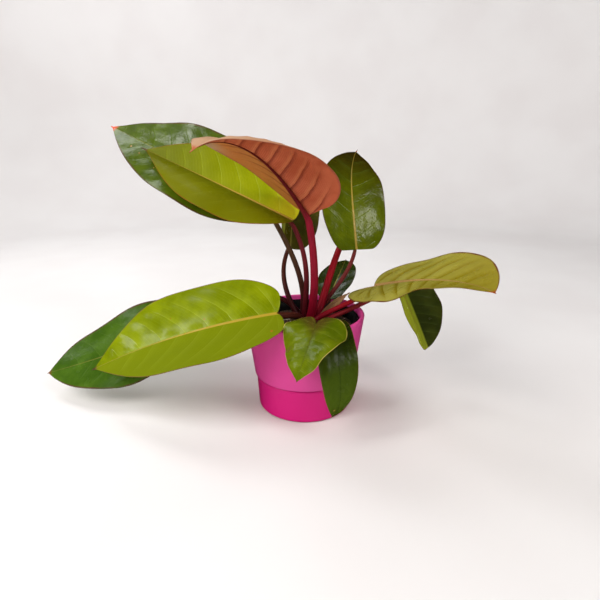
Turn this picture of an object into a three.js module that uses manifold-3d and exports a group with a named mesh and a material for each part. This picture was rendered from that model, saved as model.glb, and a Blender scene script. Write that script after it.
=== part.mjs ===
// A philodendron with orange new leaves in a round pot, in millimetres.
// The origin is the centre of the pot's flat bottom, +Z is up and the front is -Y.
// A leaf is a petiole (its stalk) and a blade. Both are worked out from a few values per leaf.
import * as THREE from "three";
import { mergeVertices } from "three/addons/utils/BufferGeometryUtils.js";
import Module from "manifold-3d";

const wasm = await Module();
wasm.setup();

const gap = 0.3; // clearance between touching pieces
const degree = Math.PI / 180;

// Outer pot: a smooth cone with a rounded rim, set in under a small step near its base.
const pot = {
  height: 116,
  rimRadius: 70,
  stepHeight: 42,
  stepRadius: 60.3,
  stepDepth: 2,
  baseRadius: 56,
  baseFillet: 3,
  rimRound: 2.2,
  throatDepth: 12,
  throatRadius: 64.6,
  wall: 4,
  floor: 4,
  sides: 40,
};

// Thin nursery pot that stands inside the outer pot.
const liner = {
  height: 107,
  rimRadius: 60.5,
  bottomRadius: 47,
  wall: 1.4,
  rimWidth: 2.4,
  rimDepth: 5,
  rimBevel: 1,
};

// Potting mix: slightly heaped, each ring a share of its radius, with a hole for the crown.
const soil = {
  edgeHeight: 99,
  rings: [
    { share: 0.6, height: 100.5 },
    { share: 0.3, height: 101.5 },
  ],
  holeRadius: 15.5,
  holeBottom: 66,
  holeSides: 24,
};

// Crown: the short stem, a turned profile of [radius, height], with the lowest stretch of
// every petiole grown to it.
const crown = {
  x: 5,
  y: 0,
  profile: [
    [0, 68],
    [11, 68],
    [15, 80],
    [15, 102],
    [12, 106],
    [6, 108],
    [0, 108],
  ],
  sides: 16,
};

const blade = { thickness: 1, rows: 12, columns: [0.3, 0.6, 0.85, 1], tipHalfWidth: 1.2 };
const stalk = { sides: 8, steps: 8, stubSteps: 3, seat: 0.4 };

// Flat outline of every blade: shoulder is the share of the margin that goes round a basal
// lobe, tipSpeed and taperPower shape the rest, and the rows sweep forward to the margin,
// except near the base, where they curve back round the notch.
const outline = {
  shoulder: 0.3,
  tipSpeed: 1.3,
  taperPower: 1.1,
  rowPower: 1.2,
  notchPower: 6,
  sweepPower: 1.6,
};
const waveOffset = 1.9; // the waves of the left margin against those of the right, in radians
const midribSteps = 24;

const colors = {
  magenta: 0xc9307f,
  black: 0x1d1c1e,
  earth: 0x3a2a20,
  darkGreen: 0x3c5f22,
  lime: 0x8fa326,
  heartGreen: 0x7d9a2a,
  olive: 0x9c9a2c,
  orange: 0xb5532f,
  red: 0xa02038,
  brown: 0x5e2f2a,
  straw: 0xa98d6a,
};

// Values of a blade: base is where it joins its petiole; heading, rise and roll are the
// direction, slope and tilt there in degrees; sweep, droop and twist are how much they change
// towards the tip; fold is the V angle of each half, cup its curl across, tipCup and tipSkew
// what the curl gains towards the tip; wave is the height of the margin's waves, waves their
// number along the blade and wavePhase their start. A value ending in Skew is added on the
// right half and taken off on the left, lobeSkew as a share of the lobe.
const bladeDefaults = {
  sweep: 0,
  droop: 0,
  bend: 1,
  roll: 0,
  twist: 0,
  lobe: 8,
  lobeSkew: 0,
  ear: 0.4,
  wide: 0.34,
  point: 1.1,
  fold: 8,
  foldSkew: 0,
  cup: 0,
  cupSkew: 0,
  tipCup: 0,
  tipSkew: 0,
  wave: 0,
  waves: 2,
  wavePhase: 0,
};

// Values of a petiole: foot is in the crown, knee and neck are the control points of its
// curve, and it ends under the base of its blade, clear of it by the seat. The crown carries
// it up to stub.
const leaves = {
  high_left: {
    blade: {
      base: [-49, 38, 241], heading: 162, sweep: -6, rise: 22, roll: 53, twist: -12, length: 228,
      width: 110, ear: 0.37, fold: 8, foldSkew: -1.6, cup: 1.4, cupSkew: 4.5, tipCup: 5, tipSkew: -9,
      wave: 3, waves: 2.2, color: colors.darkGreen,
    },
    petiole: {
      foot: [-4, 7, 104], knee: [8, 15, 150], neck: [-26, 23, 202], radius: 3.1, stub: 0.1,
      color: colors.brown,
    },
  },
  folded_left: {
    blade: {
      base: [-15, 4, 222.2], heading: 158.7, sweep: -1.5, rise: 22.4, droop: 1.9, roll: 29.8,
      twist: 21.9, length: 209.8, width: 96.9, lobe: 2.8, ear: 0.13, point: 1.3, fold: 28.5,
      foldSkew: -8, cup: -31.1, cupSkew: 18.2, tipCup: -6.9, tipSkew: 11.3, wave: 2,
      color: colors.lime,
    },
    petiole: {
      foot: [-1, 1, 104], knee: [2, 0, 140], neck: [8, 3, 177], radius: 3, stub: 0.1,
      color: colors.brown,
    },
  },
  new_orange: {
    blade: {
      base: [4, -20.2, 230], heading: 209.7, sweep: 29.9, rise: 52.4, droop: 79.2, bend: 1.82,
      roll: -23.1, twist: 16, length: 169, width: 113.8, lobe: -1, lobeSkew: -0.63, ear: 0.39,
      wide: 0.25, point: 1.1, fold: 27.8, foldSkew: 9.7, cup: -19.1, cupSkew: 2.1, tipCup: -122,
      tipSkew: 3,
      color: colors.orange,
    },
    petiole: {
      foot: [5, -3, 104], knee: [13, -8, 130], neck: [12, -20, 186], radius: 4.4, stub: 0.1,
      seat: -1.3, color: colors.red,
    },
  },
  big_left: {
    blade: {
      base: [-32, -43, 128], heading: 179, sweep: -6, rise: -10, droop: 18, roll: 37, twist: 7,
      length: 228, width: 102, lobe: 8, lobeSkew: -0.15, ear: 0.39, wide: 0.38, point: 1.2, fold: 11,
      foldSkew: 0.7, cup: 10, cupSkew: 3.4, tipCup: 2, wave: 2.5, color: colors.lime,
    },
    petiole: {
      foot: [-3, -7, 104], knee: [-6, -14, 120], neck: [-16, -32, 121], radius: 4, stub: 0.3,
      color: colors.brown,
    },
  },
  low_left: {
    blade: {
      base: [-98, 36, 108], heading: 190, sweep: -9, rise: -26, droop: -10, bend: 0.5, roll: 28,
      twist: 12, length: 242, width: 112, lobe: 8, ear: 0.36, wide: 0.4, point: 0.88, fold: 2, cup: 8,
      cupSkew: 4, wave: 4.5, waves: 2.1, wavePhase: 87, color: colors.darkGreen,
    },
    petiole: {
      foot: [-3, 9, 104], knee: [-30, 24, 145], neck: [-68, 33, 122], radius: 2.8, stub: 0.12,
      color: colors.brown,
    },
  },
  front_heart: {
    blade: {
      base: [10.6, -65.2, 122.6], heading: -99.5, sweep: -27.6, rise: -9.4, droop: 54.2, roll: -4.5,
      twist: -17.5, length: 67.9, width: 67.3, lobe: 15.9, lobeSkew: 0.15, ear: 0.235, wide: 0.138,
      point: 0.93, fold: 7.7, foldSkew: 1.8, cup: -21.9, cupSkew: -5.5, wave: 5.85, waves: 1.227,
      wavePhase: 80, color: colors.heartGreen,
    },
    petiole: {
      foot: [3, -9, 104], knee: [5, -28, 118], neck: [8, -45, 119], radius: 2.6, stub: 0.2,
      color: colors.red,
    },
  },
  rim_hanging: {
    blade: {
      base: [33.2, -41.9, 120.4], heading: -98.4, sweep: 36.5, rise: 5.6, droop: 143, bend: 1.1,
      roll: 6.8, twist: -8.4, length: 135.4, width: 41.5, lobe: 5, ear: 0.37, wide: 0.447,
      point: 1.16, fold: 3.8, foldSkew: 1.7, cup: -14.6, wave: 1.2, color: colors.darkGreen,
    },
    petiole: {
      foot: [11, -9, 104], knee: [16, -22, 110], neck: [31, -28, 115], radius: 2.6, stub: 0.25,
      color: colors.brown,
    },
  },
  lime_right: {
    blade: {
      base: [81.6, 2.9, 145.9], heading: -39.9, sweep: -43.6, rise: 19.2, droop: 17.4, bend: 1.39,
      roll: -14.8, twist: 6.6, length: 171, width: 94, lobe: 15.6, lobeSkew: 0.84, ear: 0.275,
      wide: 0.407, point: 1.01, fold: 11.5, foldSkew: -1.7, cup: -19, cupSkew: -13.6, tipCup: 60,
      tipSkew: -12, wave: 1.5, color: colors.olive,
    },
    petiole: {
      foot: [9, -8, 104], knee: [16, -12, 117], neck: [54, 8, 122], radius: 2.9, stub: 0.21,
      color: colors.red,
    },
  },
  hanging_right: {
    blade: {
      base: [118.9, 35.1, 136.9], heading: -23.1, sweep: 10.2, rise: -64, droop: 3.3, roll: -40.2,
      twist: -7.2, length: 88.8, width: 75.5, lobe: 8.3, ear: 0.49, wide: 0.33, point: 0.77,
      fold: 44, foldSkew: -0.7, cup: -7.4, cupSkew: 10, tipCup: 8, tipSkew: 5.4, wave: 1.5,
      color: colors.darkGreen,
    },
    petiole: {
      foot: [14, -5, 104], knee: [34, -10, 112], neck: [76, 14, 124], radius: 2.9, stub: 0.15,
      color: colors.red,
    },
  },
  upright_right: {
    blade: {
      base: [59.5, 10, 188], heading: 107.7, sweep: -36.8, rise: 73.8, droop: 52.7, bend: 1.16,
      roll: -8.2, twist: -12.5, length: 147, width: 81.4, lobe: 0.7, ear: 0.46, point: 1.06,
      fold: 7.6, foldSkew: 1.3, cup: -2.2, cupSkew: -4.2, tipCup: -2, wave: 1.5,
      color: colors.darkGreen,
    },
    petiole: {
      foot: [14, 9, 104], knee: [20, 17, 126], neck: [52, 15, 148], radius: 2.6, stub: 0.12,
      color: colors.brown,
    },
  },
  inner_back: {
    blade: {
      base: [-18, 46, 183], heading: 84, sweep: -4, rise: 61, droop: 22, roll: -38, twist: -7,
      length: 136, width: 70, lobe: 2, ear: 0.3, wide: 0.36, fold: 28, cup: 20, wave: 1.5,
      color: colors.darkGreen,
    },
    petiole: {
      foot: [-5, -1, 104], knee: [-28, 14, 140], neck: [-30, 32, 160], radius: 2.9, stub: 0.12,
      color: colors.brown,
    },
  },
  low_back: {
    blade: {
      base: [32, 40, 120], heading: 58, sweep: 14, rise: 49, droop: 34, roll: 8, twist: -6, length: 70,
      width: 50, lobe: 2, wide: 0.36, point: 1, fold: 10, wave: 1, color: colors.darkGreen,
    },
    petiole: {
      foot: [7, 9, 104], knee: [12, 20, 112], neck: [24, 32, 112], radius: 2.3, stub: 0.2,
      color: colors.brown,
    },
  },
  back_orange: {
    blade: {
      base: [49, 40, 203], heading: 75, rise: 30, droop: 12, length: 165, width: 76, lobe: 4, fold: 32,
      cup: 15, wave: 2, color: colors.orange,
    },
    petiole: {
      foot: [13, 2, 104], knee: [22, 6, 126], neck: [32, 24, 170], radius: 4.2, stub: 0.13,
      color: colors.red,
    },
  },
};

// Withered sheath that once wrapped the newest leaf: a narrow dry blade beside the crown.
const sheath = {
  ...bladeDefaults,
  base: [19.4, -0.3, 108.4],
  heading: 19,
  rise: 48,
  droop: 22,
  roll: -75,
  length: 44,
  width: 10,
  lobe: 0,
  ear: 0.6,
  wide: 0.3,
  fold: 24,
  wave: 0.8,
};

const vec = (list) => new THREE.Vector3(...list);

const part = new THREE.Group();

function addMesh(name, geometry, color, roughness = 0.5) {
  geometry.computeVertexNormals();
  const mesh = new THREE.Mesh(geometry, new THREE.MeshStandardMaterial({ color, roughness, metalness: 0 }));
  mesh.name = name;
  part.add(mesh);
}

// The same geometry with only its positions and shared vertices.
function merged(geometry) {
  geometry.deleteAttribute("normal");
  geometry.deleteAttribute("uv");
  return mergeVertices(geometry, 1e-3);
}

function toSolid(geometry) {
  const clean = merged(geometry);
  return new wasm.Manifold(
    new wasm.Mesh({
      numProp: 3,
      vertProperties: clean.attributes.position.array,
      triVerts: new Uint32Array(clean.index.array),
    }),
  );
}

function toGeometry(solid) {
  const mesh = solid.getMesh();
  return new THREE.BufferGeometry()
    .setAttribute("position", new THREE.BufferAttribute(mesh.vertProperties, 3))
    .setIndex(new THREE.BufferAttribute(mesh.triVerts, 1));
}

// A turned body: profile is a list of [radius, height], up the outside and back to its start.
function turned(profile, sides) {
  const points = profile.map(([radius, height]) => new THREE.Vector2(radius, height));
  const geometry = new THREE.LatheGeometry(points, sides);
  geometry.rotateX(Math.PI / 2);
  return merged(geometry);
}

// Points of a quarter or half round of a profile.
function round(centreRadius, centreHeight, radius, from, to, steps) {
  return Array.from({ length: steps + 1 }, (_, i) => {
    const angle = (from + ((to - from) * i) / steps) * degree;
    return [centreRadius + radius * Math.cos(angle), centreHeight + radius * Math.sin(angle)];
  });
}

function makeOuterPot() {
  const { rimRound, baseFillet } = pot;
  return turned(
    [
      [0, 0],
      ...round(pot.baseRadius - baseFillet, baseFillet, baseFillet, -90, 0, 3),
      [pot.stepRadius - pot.stepDepth, pot.stepHeight],
      [pot.stepRadius, pot.stepHeight + 0.5],
      ...round(pot.rimRadius - rimRound, pot.height - rimRound, rimRound, 0, 180, 6),
      [pot.throatRadius, pot.height - pot.throatDepth],
      [pot.baseRadius - pot.wall, pot.floor],
      [0, pot.floor],
    ],
    pot.sides,
  );
}

function makeNurseryPot() {
  const { rimRadius, bottomRadius, wall, rimDepth, rimBevel } = liner;
  const bottom = pot.floor + gap;
  const top = bottom + liner.height;
  const lip = rimRadius + liner.rimWidth;
  return turned(
    [
      [0, bottom],
      [bottomRadius, bottom],
      [rimRadius - rimBevel, top - rimDepth],
      [lip - rimBevel, top - rimDepth],
      [lip, top - rimBevel],
      [lip - rimBevel, top],
      [rimRadius - wall, top],
      [bottomRadius - wall, bottom + wall],
      [0, bottom + wall],
    ],
    pot.sides,
  );
}

function makeSoil() {
  const linerBottom = pot.floor + gap;
  const bottom = linerBottom + liner.wall + gap;
  const slope = (liner.rimRadius - liner.bottomRadius) / (liner.height - liner.wall);
  const innerRadius = (height) =>
    liner.bottomRadius - liner.wall + slope * (height - linerBottom - liner.wall) - gap;
  const edgeRadius = innerRadius(soil.edgeHeight);
  const middleHeight = soil.rings[soil.rings.length - 1].height;
  const mass = toSolid(
    turned(
      [
        [0, bottom],
        [innerRadius(bottom), bottom],
        [edgeRadius, soil.edgeHeight],
        ...soil.rings.map(({ share, height }) => [edgeRadius * share, height]),
        [0, middleHeight],
      ],
      pot.sides,
    ),
  );
  const depth = 2 * (middleHeight - soil.holeBottom); // it reaches out above the mix
  const hole = new THREE.CylinderGeometry(soil.holeRadius, soil.holeRadius, depth, soil.holeSides);
  hole.rotateX(Math.PI / 2);
  hole.translate(crown.x, crown.y, soil.holeBottom + depth / 2);
  return toGeometry(mass.subtract(toSolid(hole)));
}

// Direction of a midrib at t, 0 at the base and 1 at the tip, with the directions
// across it to the right and up from its upper face.
function bladeFrame(leaf, t) {
  const s = Math.min(1, Math.max(0, t));
  const heading = (leaf.heading + leaf.sweep * s) * degree;
  const pitch = (leaf.rise - leaf.droop * s ** leaf.bend) * degree;
  const roll = (leaf.roll + leaf.twist * s) * degree;
  const along = vec([
    Math.cos(pitch) * Math.cos(heading),
    Math.cos(pitch) * Math.sin(heading),
    Math.sin(pitch),
  ]);
  const level = vec([Math.sin(heading), -Math.cos(heading), 0]);
  const raised = level.clone().cross(along);
  const across = level.clone().multiplyScalar(Math.cos(roll)).addScaledVector(raised, Math.sin(roll));
  const up = raised.clone().multiplyScalar(Math.cos(roll)).addScaledVector(level, -Math.sin(roll));
  return { along, across, up };
}

// Point of the midrib at t, as the sum of short steps from the base.
function midribPoint(leaf, t) {
  const point = vec(leaf.base);
  for (let i = 0; i < midribSteps; i += 1) {
    const { along } = bladeFrame(leaf, (t * (i + 0.5)) / midribSteps);
    point.addScaledVector(along, (leaf.length * t) / midribSteps);
  }
  return point;
}

// Flat outline: q runs from the basal lobes to the tip and u from the midrib to the margin.
// The answer is how far along and across the flat blade that point lies.
function planform(leaf, q, u, side) {
  const { shoulder, tipSpeed, taperPower, rowPower, notchPower, sweepPower } = outline;
  const half = leaf.width / 2;
  const lobe = leaf.lobe * (1 + side * leaf.lobeSkew);
  const widest = leaf.wide * leaf.length;
  let marginAlong;
  let marginAcross;
  if (q < shoulder) {
    const turn = ((q / shoulder) * Math.PI) / 2;
    marginAlong = -lobe + (widest + lobe) * (1 - Math.cos(turn));
    marginAcross = leaf.ear * half + (1 - leaf.ear) * half * Math.sin(turn);
  } else {
    const r = (q - shoulder) / (1 - shoulder);
    marginAlong = widest + (leaf.length - widest) * r * (tipSpeed + (1 - tipSpeed) * r);
    marginAcross = half * Math.max(0, Math.cos((r ** taperPower * Math.PI) / 2)) ** leaf.point;
  }
  marginAcross = Math.max(marginAcross, blade.tipHalfWidth);
  const start = leaf.length * q ** rowPower;
  const notch = (1 - q) ** notchPower;
  const turn = (u * Math.PI) / 2;
  const outward = (1 - notch) * u ** sweepPower + notch * Math.sin(turn);
  const sideways = (1 - notch) * u + notch * (1 - Math.cos(turn));
  return { along: start + (marginAlong - start) * outward, across: marginAcross * sideways };
}

// Point of the middle surface of a blade; side is -1 on the left half and 1 on the right.
function bladePoint(leaf, q, u, side) {
  const half = leaf.width / 2;
  const { along, across } = planform(leaf, q, u, side);
  const t = along / leaf.length;
  const tip = Math.min(1, Math.max(0, t)) ** 2;
  const curl = (leaf.cup + side * leaf.cupSkew + (leaf.tipCup + side * leaf.tipSkew) * tip) * degree;
  const curvature = Math.abs(curl) < 1e-3 ? 1e-3 / half : curl / half;
  const fold = (leaf.fold + side * leaf.foldSkew) * degree;
  const angle = fold + curvature * across;
  const x = (Math.sin(angle) - Math.sin(fold)) / curvature;
  const phase = 2 * Math.PI * leaf.waves * t + leaf.wavePhase * degree + (side > 0 ? 0 : waveOffset);
  const ripple = leaf.wave * (across / half) ** 2 * Math.sin(phase);
  const z = (Math.cos(fold) - Math.cos(angle)) / curvature + ripple;
  const frame = bladeFrame(leaf, t);
  return midribPoint(leaf, t).addScaledVector(frame.across, side * x).addScaledVector(frame.up, z);
}

// A closed plate from a grid of points and their normals, both faces split alike.
function plate(grid, thickness) {
  const rows = grid.length;
  const columns = grid[0].length;
  const positions = [];
  const difference = (a, b) => new THREE.Vector3().subVectors(b, a);
  for (const side of [1, -1]) {
    for (let i = 0; i < rows; i += 1) {
      for (let j = 0; j < columns; j += 1) {
        const lengthwise = difference(grid[Math.max(0, i - 1)][j], grid[Math.min(rows - 1, i + 1)][j]);
        const crosswise = difference(grid[i][Math.max(0, j - 1)], grid[i][Math.min(columns - 1, j + 1)]);
        const normal = crosswise.cross(lengthwise).normalize();
        positions.push(...grid[i][j].clone().addScaledVector(normal, (side * thickness) / 2).toArray());
      }
    }
  }
  const top = (i, j) => i * columns + j;
  const under = (i, j) => rows * columns + top(i, j);
  const index = [];
  for (let i = 0; i < rows - 1; i += 1) {
    for (let j = 0; j < columns - 1; j += 1) {
      index.push(top(i, j), top(i, j + 1), top(i + 1, j + 1), top(i, j), top(i + 1, j + 1), top(i + 1, j));
      index.push(under(i, j), under(i + 1, j + 1), under(i, j + 1));
      index.push(under(i, j), under(i + 1, j), under(i + 1, j + 1));
    }
  }
  const border = [];
  for (let j = 0; j < columns - 1; j += 1) border.push([0, j]);
  for (let i = 0; i < rows - 1; i += 1) border.push([i, columns - 1]);
  for (let j = columns - 1; j > 0; j -= 1) border.push([rows - 1, j]);
  for (let i = rows - 1; i > 0; i -= 1) border.push([i, 0]);
  border.forEach(([i, j], k) => {
    const [m, n] = border[(k + 1) % border.length];
    index.push(top(m, n), top(i, j), under(i, j), top(m, n), under(i, j), under(m, n));
  });
  return new THREE.BufferGeometry()
    .setAttribute("position", new THREE.Float32BufferAttribute(positions, 3))
    .setIndex(index);
}

function makeBlade(leaf) {
  const grid = [];
  for (let i = 0; i <= blade.rows; i += 1) {
    const q = i / blade.rows;
    const left = blade.columns.map((u) => bladePoint(leaf, q, u, -1)).reverse();
    const right = blade.columns.map((u) => bladePoint(leaf, q, u, 1));
    grid.push([...left, bladePoint(leaf, q, 0, 1), ...right]);
  }
  return plate(grid, blade.thickness);
}

// The curve of a petiole. It ends just under the blade's base, so that its round end
// clears the blade by the seat.
function petioleCurve(leaf, petiole) {
  const { across, up } = bladeFrame(leaf, 0);
  const along = up.clone().cross(across);
  const arriving = vec(leaf.base).sub(vec(petiole.neck)).normalize();
  const lean = Math.hypot(arriving.dot(along), arriving.dot(across));
  const seat = petiole.seat ?? stalk.seat;
  const drop = petiole.radius * taper(1) * lean + blade.thickness / 2 + seat;
  const end = vec(leaf.base).addScaledVector(up, -drop);
  return new THREE.CubicBezierCurve3(vec(petiole.foot), vec(petiole.knee), vec(petiole.neck), end);
}

// How a petiole's radius narrows from its foot (1.15) to its top (0.85).
function taper(t) {
  return 1.15 - 0.3 * t;
}

// A round tube along part of a curve, from t = from to t = to.
function tube(curve, radius, from, to, steps) {
  const positions = [];
  let side = new THREE.Vector3(1, 0, 0);
  for (let i = 0; i <= steps; i += 1) {
    const t = from + ((to - from) * i) / steps;
    const centre = curve.getPoint(t);
    const along = curve.getTangent(t);
    side = side.clone().addScaledVector(along, -side.dot(along)).normalize();
    const other = along.clone().cross(side);
    for (let k = 0; k < stalk.sides; k += 1) {
      const angle = (2 * Math.PI * k) / stalk.sides;
      const point = centre
        .clone()
        .addScaledVector(side, radius * taper(t) * Math.cos(angle))
        .addScaledVector(other, radius * taper(t) * Math.sin(angle));
      positions.push(...point.toArray());
    }
  }
  const ring = (i, k) => i * stalk.sides + (k % stalk.sides);
  const index = [];
  for (let i = 0; i < steps; i += 1) {
    for (let k = 0; k < stalk.sides; k += 1) {
      index.push(ring(i, k), ring(i, k + 1), ring(i + 1, k + 1));
      index.push(ring(i, k), ring(i + 1, k + 1), ring(i + 1, k));
    }
  }
  for (let k = 1; k < stalk.sides - 1; k += 1) {
    index.push(ring(0, 0), ring(0, k + 1), ring(0, k));
    index.push(ring(steps, 0), ring(steps, k), ring(steps, k + 1));
  }
  return new THREE.BufferGeometry()
    .setAttribute("position", new THREE.Float32BufferAttribute(positions, 3))
    .setIndex(index);
}

function makePetiole(leaf, petiole) {
  const curve = petioleCurve(leaf, petiole);
  const from = petiole.stub + gap / curve.getLength();
  return tube(curve, petiole.radius, from, 1, stalk.steps);
}

function makeCrown(entries) {
  const stem = turned(crown.profile, crown.sides);
  stem.translate(crown.x, crown.y, 0);
  let solid = toSolid(stem);
  for (const { leaf, petiole } of entries) {
    const stub = tube(petioleCurve(leaf, petiole), petiole.radius, 0, petiole.stub, stalk.stubSteps);
    solid = solid.add(toSolid(stub));
  }
  return toGeometry(solid);
}

const entries = Object.entries(leaves).map(([name, values]) => ({
  name,
  leaf: { ...bladeDefaults, ...values.blade },
  petiole: values.petiole,
}));

addMesh("outer_pot", makeOuterPot(), colors.magenta, 0.35);
addMesh("nursery_pot", makeNurseryPot(), colors.black, 0.5);
addMesh("soil", makeSoil(), colors.earth, 0.95);
addMesh("crown", makeCrown(entries), colors.brown, 0.6);
addMesh("dry_sheath", makeBlade(sheath), colors.straw, 0.8);
for (const { name, leaf, petiole } of entries) {
  addMesh(`${name}_blade`, makeBlade(leaf), leaf.color, 0.4);
  addMesh(`${name}_petiole`, makePetiole(leaf, petiole), petiole.color, 0.45);
}

export default part;
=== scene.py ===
import math
import random

import bpy
import numpy as np
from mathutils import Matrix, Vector


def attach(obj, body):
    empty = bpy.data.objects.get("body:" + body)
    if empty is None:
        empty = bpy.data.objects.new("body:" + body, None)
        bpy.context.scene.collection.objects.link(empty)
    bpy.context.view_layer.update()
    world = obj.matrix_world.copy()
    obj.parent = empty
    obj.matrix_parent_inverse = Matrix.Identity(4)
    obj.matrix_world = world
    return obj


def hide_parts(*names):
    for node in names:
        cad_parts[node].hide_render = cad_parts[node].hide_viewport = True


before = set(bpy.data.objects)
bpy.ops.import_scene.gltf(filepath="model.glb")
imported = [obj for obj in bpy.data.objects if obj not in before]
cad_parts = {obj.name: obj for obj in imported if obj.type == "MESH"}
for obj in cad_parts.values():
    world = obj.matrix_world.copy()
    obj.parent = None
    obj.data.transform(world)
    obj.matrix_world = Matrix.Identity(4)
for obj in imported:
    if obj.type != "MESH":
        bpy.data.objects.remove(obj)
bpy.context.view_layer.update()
mm = 0.001
scene = bpy.context.scene
print("stage: packed model loaded")


# small helpers for shader nodes

def linearColor(color):
    shares = [v / 255 for v in color]
    linear = [((v + 0.055) / 1.055) ** 2.4 if v > 0.04 else v / 12.92 for v in shares]
    return (*linear, 1.0)


def startMaterial(name):
    material = bpy.data.materials.new(name)
    material.use_nodes = True
    return material, material.node_tree.nodes["Principled BSDF"]


def addNode(beside, kind):
    # in the node tree that holds this node or socket
    return beside.id_data.nodes.new("ShaderNode" + kind)


def plug(value, socket):
    # value is a number, a colour of 0-255 display values or another node's output
    if hasattr(value, "is_linked"):
        socket.id_data.links.new(value, socket)
    else:
        socket.default_value = linearColor(value) if isinstance(value, tuple) else value


def calc(operation, first, second=0.0):
    node = addNode(first, "Math")
    node.operation = operation
    plug(first, node.inputs[0])
    plug(second, node.inputs[1])
    return node.outputs[0]


def plus(first, second):
    return calc("ADD", first, second)


def minus(first, second):
    return calc("SUBTRACT", first, second)


def times(first, second):
    return calc("MULTIPLY", first, second)


def ramp(value, low, high, toLow=0.0, toHigh=1.0):
    # smooth step from low to high
    node = addNode(value, "MapRange")
    node.interpolation_type = "SMOOTHSTEP"
    plug(value, node.inputs["Value"])
    node.inputs["From Min"].default_value = low
    node.inputs["From Max"].default_value = high
    node.inputs["To Min"].default_value = toLow
    node.inputs["To Max"].default_value = toHigh
    return node.outputs["Result"]


def mixColor(factor, colorA, colorB):
    node = addNode(factor, "Mix")
    node.data_type = "RGBA"
    plug(factor, node.inputs[0])
    plug(colorA, node.inputs[6])
    plug(colorB, node.inputs[7])
    return node.outputs[2]


def blend(value, low, high, colorA, colorB):
    # colorA where value is low, colorB where it is high
    return mixColor(ramp(value, low, high), colorA, colorB)


def noise(vector, scale, detail=3.0, roughness=0.5):
    node = addNode(vector, "TexNoise")
    plug(vector, node.inputs["Vector"])
    node.inputs["Scale"].default_value = scale
    node.inputs["Detail"].default_value = detail
    node.inputs["Roughness"].default_value = roughness
    return node.outputs["Fac"]


def separate(vector):
    node = addNode(vector, "SeparateXYZ")
    plug(vector, node.inputs[0])
    return node.outputs


def objectCoords(shader):
    return addNode(shader, "TexCoord").outputs["Object"]


def mapCoords(shader, name):
    # the two numbers of a UV map, and the map itself
    source = addNode(shader, "UVMap")
    source.uv_map = name
    first, second, _ = separate(source.outputs[0])
    return first, second, source.outputs[0]


def finishSkin(shader, color, dull, shine=0.5, height=None, depth=0.0):
    # dull is the roughness, and depth in m the relief of height
    plug(color, shader.inputs["Base Color"])
    plug(dull, shader.inputs["Roughness"])
    shader.inputs["Specular IOR Level"].default_value = shine
    if height is not None:
        node = addNode(shader, "Bump")
        node.inputs["Distance"].default_value = depth
        node.inputs["Strength"].default_value = 1.0
        plug(height, node.inputs["Height"])
        plug(node.outputs[0], shader.inputs["Normal"])


# small helpers for meshes

def addMesh(name, points, faces, materials, maps=None, faceMaterials=None):
    # points in mm; maps is {uv map name: one pair per point}
    mesh = bpy.data.meshes.new(name)
    mesh.from_pydata([tuple(p) for p in np.asarray(points) * mm], [], faces)
    for material in materials:
        mesh.materials.append(material)
    corners = np.zeros(len(mesh.loops), dtype=np.int32)
    mesh.loops.foreach_get("vertex_index", corners)
    for mapName, pairs in (maps or {}).items():
        layer = mesh.uv_layers.new(name=mapName)
        layer.data.foreach_set("uv", np.asarray(pairs, dtype=np.float32)[corners].ravel())
    mesh.polygons.foreach_set("use_smooth", [True] * len(mesh.polygons))
    if faceMaterials is not None:
        mesh.polygons.foreach_set("material_index", faceMaterials)
    mesh.update()
    piece = bpy.data.objects.new(name, mesh)
    scene.collection.objects.link(piece)
    return piece


def settle(piece, slot, *nodes):
    # the plant has one body, and a piece stands for the nodes that it replaces
    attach(piece, "root")
    if nodes:
        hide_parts(*nodes)


def bandFaces(low, high):
    # faces between two rings of as many points
    sides = len(low)
    return [(low[k], low[(k + 1) % sides], high[(k + 1) % sides], high[k]) for k in range(sides)]


def tubeFaces(rings):
    # bands from ring to ring, then a cap at each end
    faces = []
    for low, high in zip(rings, rings[1:]):
        faces += bandFaces(low, high)
    return faces + [tuple(reversed(rings[0])), tuple(rings[-1])]


def turnedMesh(name, profile, sides, materials):
    # profile of (radius, height) in mm, from the axis outwards
    points = []
    rings = []
    for radius, height in profile:
        if radius == 0:
            rings.append([len(points)] * sides)
            points.append((0, 0, height))
            continue
        rings.append(list(range(len(points), len(points) + sides)))
        for k in range(sides):
            angle = 2 * math.pi * k / sides
            points.append((radius * math.cos(angle), radius * math.sin(angle), height))
    faces = []
    for low, high in zip(rings, rings[1:]):
        for a, b, c, d in bandFaces(low, high):
            if a == b:
                faces.append((a, c, d))
            elif c == d:
                faces.append((a, b, c))
            else:
                faces.append((a, b, c, d))
    return addMesh(name, points, faces, materials)


def arc(radius, height, size, low, high, steps):
    # round stretch of a profile, from low to high degrees
    angles = [math.radians(low + (high - low) * k / steps) for k in range(steps + 1)]
    return [(radius + size * math.cos(angle), height + size * math.sin(angle)) for angle in angles]


def straight(start, end, steps):
    # straight stretch of a profile, without its start
    return [tuple(a + (b - a) * k / steps for a, b in zip(start, end)) for k in range(1, steps + 1)]


# leaf shapes, from the same values as the solids
# base, heading, rise and roll place the blade; sweep, droop and twist are what they gain to the tip
# fold and cup bend its halves, wave its margin; quilt and buckle are the relief between the veins

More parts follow.
